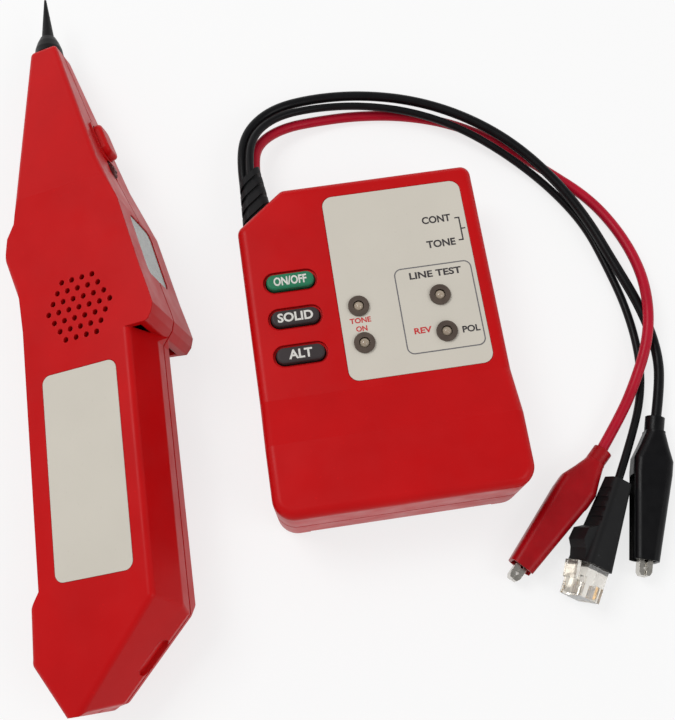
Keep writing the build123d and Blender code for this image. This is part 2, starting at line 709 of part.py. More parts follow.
# probe screws, board, switch, battery
probe_screw_places = [(1.5, 21.0), (-6.0, 97.0)]
probe_screws = []
for (x, y) in probe_screw_places:
    low = probe_mid_half + x * slope
    if y > nose_start:
        low = nose_half + (nose_end - y) * nose_drop + (x - nose_axis) * slope
    post = bar(x, y, -low + 1.0, 3.4, low - 1.0, LOW)
    probe_lower = probe_lower + (post & probe_outer)
    probe_lower = probe_lower - bar(x, y, -low - 2.0, screw_head_radius + 0.3, 4.6, LOW)
    probe_lower = probe_lower - bar(x, y, -low - 1, screw_shank_radius + 0.02, low + 2, LOW)
    cap = bar(x, y, 0.0, 3.0, low - 0.8, LOW)
    cap = (cap & probe_outer) - bar(x, y, -1, screw_shank_radius + 0.02, 6.5, LOW)
    probe_upper = probe_upper + cap
    screw = bar(x, y, -low + 0.8, screw_head_radius, screw_head_thick, LOW)
    screw = screw + bar(x, y, -low + 0.8, screw_shank_radius, low + 4.0, LOW)
    screw = screw - box(x, y, -low + 0.8, 3.4, 0.7, 1.4) - box(x, y, -low + 0.8, 0.7, 3.4, 1.4)
    probe_screws.append(screw)
board_shape = [(-11.5, 28), (14.5, 28), (14.5, 60), (9.5, 80), (2.0, 106), (-10.0, 106), (-11.5, 80)]
probe_board = extrude(make_face(Polyline(board_shape, close=True)), board_thick)
probe_board = Pos(0, 0, -5.0) * probe_board
for (x, y) in probe_screw_places:
    probe_board = probe_board - bar(x, y, -5, 3.9, 9)
board_low = -5.0
probe_chips = []
probe_chips.append(box(3, 68, board_low, 6.0, 8.6, 1.8, HIGH))
probe_chips.append(box(-5, 48, board_low, 5.0, 6.0, 1.6, HIGH))
probe_chips.append(bar(7, 40, board_low, 2.5, 4.0, HIGH))
probe_chips.append(box(-6, 80, board_low, 3.2, 1.6, 1.1, HIGH))
switch_plane = on_front(103.0, 3.4 + 0.8 + trigger_travel + 0.1)
trigger_switch = switch_plane * Box(6.0, 6.0, 2.4, align=HIGH)
probe_board = probe_board - (switch_plane * Box(8.0, 40, 4.0, align=HIGH) & box(0, 103, 0, 60, 9, 1))
pb_x = 2.9
pb_y = -37.3 + battery_length / 2
probe_battery = Pos(pb_x, pb_y, 0) * Rot(0, 0, 90) * extrude(
    RectangleRounded(battery_length, battery_width, 2.2), battery_thick / 2, both=True)
pb_end = pb_y + battery_length / 2
probe_terminals = []
for s in (-1, 1):
    stud = Pos(pb_x + s * 6.35, pb_end, 0) * Rot(-90, 0, 0) * Cylinder(3.0, 2.9, align=LOW)
    probe_terminals.append(stud)
probe_snap = box(pb_x, pb_end + 2.9, 0, 25.0, 1.6, 12.0, (Align.CENTER, Align.MIN, Align.CENTER))

# the probe turned to lie on its lower wide face
lift = probe_mid_half * math.cos(theta)
probe_place = Location((probe_x, probe_y, lift), (0, -probe_half_angle, 0))

# ---------------------------------------------------------------- clips (own frame: x to the jaws)
clip_mid_z = clip_thick / 2


def clip_outline(inset):
    """Half widths of the vinyl boot, from neck to mouth."""
    points = [
        (0, clip_neck / 2 - inset),
        (5.0, clip_neck / 2 - inset),
        (9.0, clip_neck / 2 + 1.3 - inset),
        (13.0, clip_widest / 2 - inset),
        (17.0, clip_widest / 2 - inset),
        (clip_length, clip_front / 2 - inset),
    ]
    return points


def clip_block(inset, start, end):
    upper = clip_outline(inset)
    lower = [(x, -y) for (x, y) in reversed(upper)]
    face = make_face(Polyline(upper + lower, close=True))
    solid = extrude(face, clip_thick / 2 - inset, both=True)
    edges = [e for e in solid.edges() if abs(e.center().Z) > clip_thick / 2 - inset - 0.1
             and e.length > 2.0 and abs(e.center().Y) > 0.5]
    if inset == 0:
        solid = soften(solid, edges, [2.4, 2.0, 1.5, 1.0])
        # the neck narrows to the lead
        collar_cut = box(0, 0, 0, 10.0, 30, 30) - Rot(0, 90, 0) * Cylinder(clip_neck / 2, 40)
        solid = solid - (collar_cut & box(2.0, 0, 0, 5.0, 30, 30))
    keep = box(start, 0, 0, end - start, 60, 60, (Align.MIN, Align.CENTER, Align.CENTER))
    return solid & keep


def clip_jaw(side):
    """One stamped jaw: side is +1 for the fixed one and -1 for the moving one."""
    mouth = clip_length + jaw_reach
    tall = jaw_width
    if side < 0:
        tall = jaw_width - 2 * jaw_metal - 0.3
    outline_points = [
        (12.0, side * 3.6),
        (14.0, side * 4.0),
        (17.0, side * 3.4),
        (clip_pivot + 5.0, side * jaw_depth),
        (mouth - 1.0, side * 1.7),
        (mouth, side * 1.1),
        (mouth, side * 0.06),
        (clip_pivot + 7.0, side * 0.06),
        (clip_pivot + 4.0, side * 0.06),
        (clip_pivot + 1.8, side * -1.4),
        (clip_pivot - 1.8, side * -1.4),
        (14.5, side * 2.4),
    ]
    face = make_face(Polyline(outline_points, close=True))
    solid = extrude(face, tall / 2, both=True)
    hollow = [
        (11.0, side * 2.9),
        (14.2, side * 3.3),
        (17.0, side * 2.7),
        (clip_pivot + 5.0, side * (jaw_depth - jaw_metal)),
        (mouth - 4.0, side * 1.1),
        (mouth - 4.0, side * -3.0),
        (11.0, side * -3.0),
    ]
    inner = extrude(make_face(Polyline(hollow, close=True)), tall / 2 - jaw_metal, both=True)
    solid = solid - inner
    for i in range(7):
        x = mouth - 2.0 - i * 2.2
        solid = solid - Pos(x, 0, 0) * Rot(0, 0, 45) * Box(0.9, 0.9, 20)
    fit = 0.0
    if side < 0:
        fit = pin_fit
    solid = solid - Pos(clip_pivot, 0, 0) * Cylinder(pin_radius + fit, 30)
    return solid


clip_boot = clip_block(0, 0, clip_length) - clip_block(clip_wall, 8.0, clip_length + 1)
slot = box(clip_pivot - 1.0, 0, 0, clip_length, 20, jaw_width + 0.4,
           (Align.MIN, Align.MAX, Align.CENTER))
clip_boot = clip_boot - slot
clip_fixed = clip_jaw(1)
tab = box(10.7, 2.9, 0, 3.8, 0.6, jaw_width - 1.0, (Align.MIN, Align.MIN, Align.CENTER))
clip_fixed = clip_fixed + tab
clip_moving = clip_jaw(-1)
clip_pin = Pos(clip_pivot, 0, 0) * Cylinder(pin_radius, jaw_width + 0.6)
spring_r = 1.35
clip_spring = Pos(clip_pivot, 0, 0) * (Cylinder(spring_r, 1.6) - Cylinder(pin_radius + 0.1, 4))

# ---------------------------------------------------------------- plug (own frame: x to the contacts,
# z towards the latch)
boot_rear = Plane(origin=(0, 0, 0), x_dir=(0, 1, 0), z_dir=(1, 0, 0))
boot_waist = Plane(origin=(9.0, 0, 0), x_dir=(0, 1, 0), z_dir=(1, 0, 0))
boot_front = Plane(origin=(plug_boot_length, 0, 0), x_dir=(0, 1, 0), z_dir=(1, 0, 0))
plug_boot = loft([boot_rear * RectangleRounded(plug_boot_rear, plug_boot_rear - 0.6, 2.0),
                  boot_front * RectangleRounded(plug_boot_width, plug_boot_height, 2.0)])
for i in range(4):
    x = 4.0 + 3.0 * i
    h = (plug_boot_rear + (plug_boot_height - plug_boot_rear) * x / plug_boot_length) / 2
    plug_boot = plug_boot - box(x, 0, h, 1.3, 30, 1.1)
guard = [
    (14.0, 2.0),
    (17.0, plug_boot_height / 2 + 1.9),
    (20.5, plug_boot_height / 2 + 2.3),
    (22.5, plug_boot_height / 2 + 0.9),
    (plug_boot_length, plug_boot_height / 2 - 0.2),
    (plug_boot_length, 2.0),
]
guard_solid = extrude(Plane.XZ * make_face(Polyline(guard, close=True)), (latch_width + 1.4) / 2,
                      both=True)
plug_boot = plug_boot + guard_solid
plug_tail = 3.0
plug_body = box(plug_boot_length - plug_tail, 0, 0, plug_body_length, plug_body_width,
                plug_body_height, (Align.MIN, Align.CENTER, Align.CENTER))
plug_boot = plug_boot - box(plug_boot_length - plug_tail, 0, 0, 20, plug_body_width,
                            plug_body_height, (Align.MIN, Align.CENTER, Align.CENTER))
plug_nose = plug_boot_length - plug_tail + plug_body_length
low_face = -plug_body_height / 2
high_face = plug_body_height / 2
plug_body = plug_body - box(plug_nose - 5.6, 0, high_face, 8.0, latch_width + 0.5, 1.2,
                            (Align.MIN, Align.CENTER, Align.MAX))
contacts = []
for i in range(contact_count):
    y = (i - (contact_count - 1) / 2) * contact_pitch
    slot_box = box(plug_nose - 4.4, y, low_face - 1, 5.0, 0.55, 2.7,
                   (Align.MIN, Align.CENTER, Align.MIN))
    plug_body = plug_body - slot_box
    blade = box(plug_nose - 4.4, y, low_face + 0.7, 3.6, 0.35, 1.0,
                (Align.MIN, Align.CENTER, Align.MIN))
    blade = blade + box(plug_nose - 4.4, y, low_face + 0.4, 3.0, 0.35, 0.5,
                        (Align.MIN, Align.CENTER, Align.MIN))
    contacts.append(blade)
latch_root = plug_nose - 1.4
latch_points = [
    (plug_nose - 0.5, high_face - 1.1),
    (plug_nose - 0.5, high_face - 0.1),
    (plug_nose - 2.4, high_face + 0.5),
    (plug_nose - 4.2, high_face + 1.4),
    (plug_nose - 4.2, high_face + 1.8),
    (plug_nose - 9.0, high_face + 2.7),
    (plug_nose - 9.0, high_face + 1.6),
    (plug_nose - 5.0, high_face + 0.6),
    (plug_nose - 2.2, high_face - 0.9),
]
latch = extrude(Plane.XZ * make_face(Polyline(latch_points, close=True)), latch_width / 2, both=True)

# ---------------------------------------------------------------- layout
gen_place = Location((gen_x, gen_y, 0))


def heading(tail, head):
    return math.degrees(math.atan2(head[1] - tail[1], head[0] - tail[0]))


red_neck = (71.9, -40.0)
red_jaw = (39.2, -71.4)
black_neck = (89.3, -32.6)
black_jaw = (75.2, -76.2)
red_turn = heading(red_neck, red_jaw)
black_turn = heading(black_neck, black_jaw)
# the red clip opens on its left side, so it is turned over; both jaws then open away from the plug
red_clip_place = Location((red_neck[0], red_neck[1], clip_mid_z), (0, 0, red_turn)) * Location(
    (0, 0, 0), (180, 0, 0))
black_clip_place = Location((black_neck[0], black_neck[1], clip_mid_z), (0, 0, black_turn))
plug_rear = (73.6, -49.6)
plug_head = (53.6, -82.9)
plug_turn = heading(plug_rear, plug_head)
plug_roll = 68.0
plug_rest = Location((plug_rear[0], plug_rear[1], 0), (0, 0, plug_turn)) * Location(
    (0, 0, 0), (plug_roll, 0, 0))
plug_low = (plug_rest * plug_boot).bounding_box().min.Z
plug_place = Location((0, 0, -plug_low + 0.02)) * plug_rest
plug_axis_z = plug_place.position.Z


def lead(points, diameter, name):
    """A round lead: straight runs joined by tangent arcs."""
    spots = [Vector(*p) for p in points]
    radii = []
    for i in range(1, len(spots) - 1):
        back = spots[i] - spots[i - 1]
        ahead = spots[i + 1] - spots[i]
        turn = math.radians(back.get_angle(ahead))
        radii.append(0.45 * min(back.length, ahead.length) / math.tan(turn / 2))
    route = FilletPolyline(*spots, radius=radii)
    start = Plane(origin=spots[0], z_dir=spots[1] - spots[0])
    tube = sweep(start * Circle(diameter / 2), path=route)
    expected = math.pi * diameter ** 2 / 4 * route.length
    print(name, "length %.1f" % route.length, "volume ratio %.4f" % (tube.volume / expected))
    print("   radii", [round(r, 1) for r in radii])
    runs = [(spots[i + 1] - spots[i]).length for i in range(len(spots) - 1)]
    print("   runs", [round(r, 1) for r in runs])
    return tube


red_route = [
    (-16.7, 53.5, 10.6),
    (-16.6, 64.0, 9.6),
    (-13.4, 71.6, 7.4),
    (-5.6, 76.6, 4.6),
    (5.5, 78.6, 2.5),
    (19.0, 79.0, 1.75),
    (34.0, 76.8, 1.7),
    (49.0, 71.4, 1.7),
    (63.0, 62.6, 1.7),
    (76.0, 51.4, 1.7),
    (86.6, 40.6, 1.9),
    (93.2, 27.6, 2.6),
    (95.9, 13.4, 4.9),
    (94.6, 0.4, 7.4),
    (91.6, -10.4, 6.8),
    (86.6, -20.2, 4.4),
    (79.6, -30.6, 4.2),
    (68.6, -43.2, 4.2),
]
black_route = [
    (-20.5, 51.5, 10.6),
    (-20.9, 64.4, 10.4),
    (-17.9, 75.9, 9.4),
    (-8.6, 83.6, 8.0),
    (5.4, 86.0, 7.0),
    (21.0, 85.2, 6.5),
    (37.0, 81.0, 6.3),
    (51.8, 73.2, 6.3),
    (65.0, 62.0, 6.2),
    (76.0, 47.6, 5.4),
    (83.6, 32.8, 4.4),
    (88.4, 17.0, 4.4),
    (93.2, 2.4, 3.9),
    (95.6, -11.0, 2.6),
    (93.6, -23.0, 3.4),
    (87.4, -38.4, 4.2),
]
plug_route = [
    (-18.3, 53.0, 14.1),
    (-18.2, 64.8, 13.4),
    (-15.1, 74.0, 11.4),
    (-7.0, 80.4, 8.8),
    (5.6, 82.6, 6.9),
    (20.0, 81.8, 6.1),
    (35.4, 77.6, 5.7),
    (49.8, 69.8, 5.4),
    (63.4, 58.4, 4.2),
    (75.2, 45.8, 2.0),
    (83.4, 32.0, 1.3),
    (87.2, 17.0, 1.3),
    (89.9, 3.0, 1.3),
    (90.4, -11.0, 1.3),
    (88.4, -22.6, 1.6),
    (83.0, -34.6, 3.4),
    (73.0, -50.6, plug_axis_z),
]
red_lead = lead(red_route, red_lead_diameter, "red lead")
black_lead = lead(black_route, black_lead_diameter, "black lead")
plug_lead = lead(plug_route, plug_lead_diameter, "plug lead")

nodes = {}
placed = {}


def put(name, shape, place=None):
    if isinstance(shape, (list, tuple)):
        shape = Compound(children=[s for s in shape])
    if place is not None:
        shape = place * shape
    placed[name] = shape


# the probe's board leaves room for the trigger over its whole travel
trigger_room = 0.3
press_way = Vector((front_out.X, front_out.Y, 0))
for step in range(7):
    inward = press_way * (-trigger_travel * step / 6)
    for along in (-trigger_room, trigger_room):
        for across in (-trigger_room, trigger_room):
            pressed = Pos(inward.X, inward.Y + along, inward.Z + across) * trigger
            probe_board = probe_board - pressed
probe_board = max(probe_board.solids(), key=lambda piece: piece.volume)

put("gen_upper_shell", gen_upper, gen_place)
put("gen_lower_shell", gen_lower, gen_place)
put("gen_control_label", label, gen_place)
put("gen_lamp_bezels", bezels, gen_place)
put("gen_lamps", lamps, gen_place)
put("gen_button_on", caps[0], gen_place)
put("gen_button_solid", caps[1], gen_place)
put("gen_button_alt", caps[2], gen_place)
put("gen_switch_knob", knob, gen_place)
put("gen_switch_body", switch_body, gen_place)
put("gen_battery_door", gen_door, gen_place)
put("gen_circuit_board", gen_board, gen_place)
put("gen_board_parts", chips, gen_place)
put("gen_key_switches", tacts, gen_place)
put("gen_battery", gen_battery, gen_place)
put("gen_battery_terminals", gen_terminals, gen_place)
put("gen_battery_snap", gen_snap, gen_place)
put("gen_shell_screws", gen_screws, gen_place)
put("gen_strain_relief", relief, gen_place)
put("lead_red", red_lead)
put("lead_black", black_lead)
put("lead_plug", plug_lead)
for colour, place in (("red", red_clip_place), ("black", black_clip_place)):
    put(colour + "_clip_boot", clip_boot, place)
    put(colour + "_clip_fixed_jaw", clip_fixed, place)
    put(colour + "_clip_moving_jaw", clip_moving, place)
    put(colour + "_clip_pin", clip_pin, place)
    put(colour + "_clip_spring", clip_spring, place)
put("plug_boot", plug_boot, plug_place)
put("plug_body", plug_body, plug_place)
put("plug_contacts", contacts, plug_place)
put("plug_latch", latch, plug_place)
put("probe_upper_shell", probe_upper, probe_place)
put("probe_lower_shell", probe_lower, probe_place)
put("probe_sticker", sticker, probe_place)
put("probe_collar", collar, probe_place)
put("probe_tip", tip, probe_place)
put("probe_trigger", trigger, probe_place)
put("probe_trigger_switch", trigger_switch, probe_place)
put("probe_volume_wheel", wheel, probe_place)
put("probe_volume_pot", wheel_pot, probe_place)
put("probe_window", window, probe_place)
put("probe_speaker", speaker, probe_place)
put("probe_speaker_magnet", magnet, probe_place)
put("probe_jack", jack, probe_place)
put("probe_circuit_board", probe_board, probe_place)
put("probe_board_parts", probe_chips, probe_place)
put("probe_battery", probe_battery, probe_place)
put("probe_battery_terminals", probe_terminals, probe_place)
put("probe_battery_snap", probe_snap, probe_place)
put("probe_battery_door", probe_door, probe_place)
put("probe_screws", probe_screws, probe_place)

# the origin goes under the middle of the two cases
low = [1e9, 1e9, 1e9]
far = [-1e9, -1e9, -1e9]
for name, shape in placed.items():
    if name.startswith(("gen_", "probe_")):
        b = shape.bounding_box()
        low = [min(low[0], b.min.X), min(low[1], b.min.Y), min(low[2], b.min.Z)]
        far = [max(far[0], b.max.X), max(far[1], b.max.Y), max(far[2], b.max.Z)]
shift = (-(low[0] + far[0]) / 2, -(low[1] + far[1]) / 2, -low[2])
print("cases from", [round(v, 2) for v in low], "to", [round(v, 2) for v in far])
print("shift", [round(v, 4) for v in shift])
home = Location(shift)
for name, shape in placed.items():
    moved = home * shape
    export_step(moved, "parts/" + name + ".step")


def tell(name, point, place):
    where = (home * place * Location(point)).position
    print(name, [round(v / 1000, 6) for v in where])


def aim(name, direction, place):
    spot = (place * Location(direction)).position - place.position
    print(name, [round(v, 6) for v in spot])


tell("red clip pivot", (clip_pivot, 0, 0), red_clip_place)
aim("red clip axis", (0, 0, 1), red_clip_place)
tell("black clip pivot", (clip_pivot, 0, 0), black_clip_place)
tell("latch pivot", (latch_root, 0, high_face - 0.6), plug_place)
aim("latch axis", (0, 1, 0), plug_place)
aim("trigger out", (front_out.X, front_out.Y, 0), probe_place)
tell("wheel centre", tuple(wheel_plane.origin), probe_place)
aim("wheel axis", (0, 0, 1), probe_place)
hinge_spot = pd_plane * Pos(barrel_x, 0, -door_thick / 2)
tell("probe door hinge", tuple(hinge_spot.position), probe_place)
aim("probe door axis", (math.cos(theta), 0, -math.sin(theta)), probe_place)
tell("jack", (jack_at.X, jack_at.Y + 0.2, 0), probe_place)
for title, route in (("red", red_route), ("black", black_route), ("plug", plug_route)):
    print(title, "route", [(round(p[0] + shift[0], 2), round(p[1] + shift[1], 2),
                            round(p[2] + shift[2], 2)) for p in route])
print("nodes", len(placed))
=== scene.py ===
import math

import bpy
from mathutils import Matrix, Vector


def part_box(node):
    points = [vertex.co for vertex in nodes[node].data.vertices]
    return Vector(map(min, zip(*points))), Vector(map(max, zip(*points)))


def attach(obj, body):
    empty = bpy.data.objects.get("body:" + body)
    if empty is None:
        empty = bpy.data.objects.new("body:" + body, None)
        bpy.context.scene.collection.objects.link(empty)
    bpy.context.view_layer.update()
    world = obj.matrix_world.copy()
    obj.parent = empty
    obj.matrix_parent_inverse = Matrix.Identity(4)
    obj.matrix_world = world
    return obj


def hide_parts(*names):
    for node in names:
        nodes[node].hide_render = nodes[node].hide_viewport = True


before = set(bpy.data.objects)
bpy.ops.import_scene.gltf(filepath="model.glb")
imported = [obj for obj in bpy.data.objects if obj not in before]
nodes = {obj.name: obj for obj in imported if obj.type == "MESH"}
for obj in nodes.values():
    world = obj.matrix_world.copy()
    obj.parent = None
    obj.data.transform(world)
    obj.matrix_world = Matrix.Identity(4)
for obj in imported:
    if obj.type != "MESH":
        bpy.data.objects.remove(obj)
scene = bpy.context.scene
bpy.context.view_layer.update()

for unused in ("Cube", "Light", "Camera"):
    found = bpy.data.objects.get(unused)
    if found:
        bpy.data.objects.remove(found, do_unlink=True)


# Camera

camera_place = Vector((0.009633, -0.108833, 0.289624))
camera_target = Vector((0.022808, -0.020780, 0.0))
LENS_MM, SENSOR_MM = 50.0, 36.0
lens = bpy.data.cameras.new("camera")
lens.lens = LENS_MM
lens.sensor_width = SENSOR_MM
lens.clip_start = 0.01
lens.clip_end = 30.0
camera = bpy.data.objects.new("camera", lens)
camera.location = camera_place
camera.rotation_euler = (camera_target - camera_place).to_track_quat("-Z", "Y").to_euler()
scene.collection.objects.link(camera)
scene.camera = camera


# Leads. Routes are in millimetres in the row frame, from the strain relief to the fitting.

RED_ROUTE = [
    (6.11, 32.72, 10.6), (5.81, 43.52, 9.6), (8.61, 51.82, 7.4), (16.81, 57.42, 4.6),
    (28.31, 59.52, 2.5), (41.91, 59.92, 1.75), (57.31, 57.62, 1.7), (72.61, 52.02, 1.7),
    (86.31, 42.42, 1.7), (98.81, 30.62, 1.7), (109.41, 19.82, 1.9), (116.01, 6.82, 2.6),
    (118.71, -7.38, 4.9), (117.41, -20.38, 7.4), (114.41, -31.18, 6.8), (109.41, -40.98, 4.4),
    (102.41, -51.38, 4.2), (91.41, -63.98, 4.2),
]
BLACK_ROUTE = [
    (2.31, 30.72, 10.6), (1.91, 43.62, 10.4), (4.91, 55.12, 9.4), (14.21, 62.82, 8.0),
    (28.21, 65.22, 7.0), (43.81, 64.42, 6.5), (59.81, 60.22, 6.3), (74.61, 52.42, 6.3),
    (87.81, 41.22, 6.2), (98.81, 26.82, 5.4), (106.41, 12.02, 4.4), (111.21, -3.78, 4.4),
    (116.01, -18.38, 3.9), (118.41, -31.78, 2.6), (116.41, -43.78, 3.4), (110.21, -59.18, 4.2),
]
PLUG_ROUTE = [
    (4.51, 32.22, 14.1), (4.61, 44.02, 13.4), (7.71, 53.22, 11.4), (15.81, 59.62, 8.8),
    (28.41, 61.82, 6.9), (42.81, 61.02, 6.1), (58.21, 56.82, 5.7), (72.61, 49.02, 5.4),
    (86.21, 37.62, 4.2), (98.01, 25.02, 2.0), (106.21, 11.22, 1.3), (110.01, -3.78, 1.3),
    (112.71, -17.78, 1.3), (113.21, -31.78, 1.3), (111.21, -43.38, 1.6), (105.81, -55.38, 3.4),
    (95.81, -71.38, 6.48),
]


def lead_curve(name, node, route, diameter):
    data = bpy.data.curves.new(name, "CURVE")
    data.dimensions = "3D"
    data.resolution_u = 14
    data.bevel_depth = diameter / 2
    data.bevel_resolution = 7
    data.use_fill_caps = True
    spline = data.splines.new("NURBS")
    spline.points.add(len(route) - 1)
    for point, (x, y, z) in zip(spline.points, route):
        point.co = (x / 1000, y / 1000, z / 1000, 1.0)
    spline.order_u = 3
    spline.use_endpoint_u = True
    obj = bpy.data.objects.new(name, data)
    scene.collection.objects.link(obj)
    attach(obj, "generator")
    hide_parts(node)
    return obj


red_wire = lead_curve(
    "red_wire", "lead_red", RED_ROUTE, 0.0032
)
black_wire = lead_curve(
    "black_wire", "lead_black", BLACK_ROUTE, 0.0030,
)
plug_wire = lead_curve(
    "plug_wire", "lead_plug", PLUG_ROUTE, 0.0024,
)


# Finishes

def srgb(r, g, b):
    def linear(c):
        c = c / 255
        return c / 12.92 if c <= 0.04045 else ((c + 0.055) / 1.055) ** 2.4

    return (linear(r), linear(g), linear(b), 1.0)


def shade(colour, k):
    return tuple(min(1.0, c * k) for c in colour[:3]) + (1.0,)


def math_node(tree, operation, a, b):
    made = tree.nodes.new("ShaderNodeMath")
    made.operation = operation
    for socket, value in zip(made.inputs, (a, b)):
        if isinstance(value, (int, float)):
            socket.default_value = value
        else:
            tree.links.new(value, socket)
    return made.outputs[0]


def finish_for(name, colour, rough, tone=0.06, patch=0.018, grain=0.0004, depth=0.000004,
               gloss_spread=0.06, specular=0.25, metallic=0.0, clear=0.0, ior=1.5,
               round_by=0.0, speck=None, stretch=None, coat=0.0):
    """A material whose colour, gloss and grain all vary over the surface. Sizes are in metres."""
    finish = bpy.data.materials.new(name)
    finish.use_nodes = True
    tree = finish.node_tree
    add = tree.nodes.new
    join = tree.links.new
    shader = tree.nodes["Principled BSDF"]
    shader.inputs["Metallic"].default_value = metallic
    shader.inputs["Specular IOR Level"].default_value = specular
    shader.inputs["IOR"].default_value = ior
    shader.inputs["Transmission Weight"].default_value = clear
    shader.inputs["Coat Weight"].default_value = coat
    shader.inputs["Coat Roughness"].default_value = 0.12

    source = add("ShaderNodeTexCoord").outputs["Object"]
    if stretch:
        mapping = add("ShaderNodeMapping")
        mapping.inputs["Scale"].default_value = stretch
        join(source, mapping.inputs["Vector"])
        source = mapping.outputs["Vector"]

    def noise(size, detail):
        made = add("ShaderNodeTexNoise")
        made.inputs["Scale"].default_value = 1.0 / size
        made.inputs["Detail"].default_value = detail
        join(source, made.inputs["Vector"])
        return made.outputs[0]

    shades = add("ShaderNodeValToRGB")
    shades.color_ramp.elements[0].position = 0.3
    shades.color_ramp.elements[0].color = shade(colour, 1 - tone)
    shades.color_ramp.elements[1].position = 0.7
    shades.color_ramp.elements[1].color = shade(colour, 1 + tone)
    join(noise(patch, 4.0), shades.inputs[0])
    painted = shades.outputs[0]
    if speck:
        spots = add("ShaderNodeValToRGB")
        spots.color_ramp.elements[0].position = 0.66
        spots.color_ramp.elements[0].color = (0.0, 0.0, 0.0, 1.0)
        spots.color_ramp.elements[1].position = 0.76
        spots.color_ramp.elements[1].color = (0.35, 0.35, 0.35, 1.0)
        join(noise(0.0009, 3.0), spots.inputs[0])
        blend = add("ShaderNodeMix")
        blend.data_type = "RGBA"
        join(spots.outputs[0], blend.inputs[0])
        join(painted, blend.inputs[6])
        blend.inputs[7].default_value = speck
        painted = blend.outputs[2]
    join(painted, shader.inputs["Base Color"])

    gloss = add("ShaderNodeMapRange")
    gloss.inputs[1].default_value = 0.3
    gloss.inputs[2].default_value = 0.7
    gloss.inputs[3].default_value = max(0.02, rough - gloss_spread)
    gloss.inputs[4].default_value = rough + gloss_spread
    join(noise(patch * 0.4, 3.0), gloss.inputs[0])
    join(gloss.outputs[0], shader.inputs["Roughness"])

    bump = add("ShaderNodeBump")
    bump.inputs["Strength"].default_value = 1.0
    bump.inputs["Distance"].default_value = depth
    join(noise(grain, 2.0), bump.inputs["Height"])
    if round_by:
        edge = add("ShaderNodeBevel")
        edge.samples = 6
        edge.inputs["Radius"].default_value = round_by
        join(edge.outputs["Normal"], bump.inputs["Normal"])
    join(bump.outputs["Normal"], shader.inputs["Normal"])
    return finish


CASE = srgb(191, 10, 14)
FINISHES = {
    "case_red": dict(colour=CASE, rough=0.36, tone=0.05, grain=0.00035, depth=0.000005,
                     specular=0.14, round_by=0.0004, speck=shade(CASE, 1.35)),
    "label_ivory": dict(colour=srgb(208, 202, 190), rough=0.38, tone=0.02, specular=0.2,
                        depth=0.000002, speck=srgb(196, 188, 176)),
    "bezel_grey": dict(colour=srgb(92, 80, 72), rough=0.34, tone=0.15, patch=0.003,
                       metallic=0.3, round_by=0.00015),
    "lamp_lens": dict(colour=srgb(176, 160, 140), rough=0.14, tone=0.15, patch=0.003,
                      coat=0.6, clear=0.15),
    "button_green": dict(colour=srgb(34, 118, 84), rough=0.42, tone=0.08, round_by=0.0002),
    "button_dark": dict(colour=srgb(60, 54, 55), rough=0.44, tone=0.1, round_by=0.0002,
                        specular=0.15),
    "inner_plastic": dict(colour=srgb(48, 48, 50), rough=0.5, tone=0.12),
    "circuit_board": dict(colour=srgb(26, 92, 54), rough=0.38, tone=0.2, patch=0.003),
    "battery_case": dict(colour=srgb(42, 44, 50), rough=0.32, tone=0.12),
    "plated_metal": dict(colour=srgb(196, 192, 184), rough=0.26, tone=0.1, patch=0.002,
                         metallic=1.0, stretch=(1.0, 1.0, 6.0), round_by=0.0001),
    "screw_steel": dict(colour=srgb(150, 150, 150), rough=0.34, tone=0.15, patch=0.002,
                        metallic=1.0),
    "black_rubber": dict(colour=srgb(26, 26, 27), rough=0.5, tone=0.2, specular=0.14,
                         depth=0.000008, speck=srgb(70, 70, 74), round_by=0.0002),
    "lead_red": dict(colour=srgb(178, 14, 42), rough=0.36, tone=0.1, patch=0.008, specular=0.18),
    "lead_black": dict(colour=srgb(15, 15, 17), rough=0.36, tone=0.2, patch=0.008, specular=0.16),
    "clip_red": dict(colour=srgb(158, 8, 18), rough=0.34, tone=0.1, patch=0.006,
                     specular=0.18, round_by=0.0003),
    "clip_black": dict(colour=srgb(13, 13, 15), rough=0.34, tone=0.2, patch=0.006,
                       specular=0.16, round_by=0.0003),
    "clear_plastic": dict(colour=srgb(238, 234, 226), rough=0.07, tone=0.04, patch=0.004,
                          gloss_spread=0.03, clear=0.92, ior=1.52, round_by=0.0001),
    "gold_contact": dict(colour=srgb(214, 172, 96), rough=0.24, tone=0.12, patch=0.002,
                         metallic=1.0),
    "tip_black": dict(colour=srgb(22, 21, 22), rough=0.38, tone=0.2, patch=0.004, specular=0.16),
    # painted shade: this dark maroon is the red case's colour in shade, put on the volume wheel in place
    # of its own colour
    "wheel_brown": dict(colour=srgb(88, 34, 34), rough=0.45, tone=0.15, patch=0.004),
    "window_green": dict(colour=srgb(94, 114, 106), rough=0.22, tone=0.25, patch=0.006,
                         coat=0.4),
    "jack_black": dict(colour=srgb(22, 22, 24), rough=0.42, tone=0.2, specular=0.15),
}
finishes = {name: finish_for(name, **recipe) for name, recipe in FINISHES.items()}
finishes["ink_dark"] = finish_for("ink_dark", srgb(62, 58, 60), 0.5, tone=0.2, patch=0.001)
finishes["ink_grey"] = finish_for("ink_grey", srgb(112, 110, 112), 0.5, tone=0.15, patch=0.001)
finishes["ink_red"] = finish_for("ink_red", srgb(196, 54, 56), 0.5, tone=0.15, patch=0.001)
finishes["ink_pale"] = finish_for("ink_pale", srgb(214, 212, 206), 0.5, tone=0.1, patch=0.001)

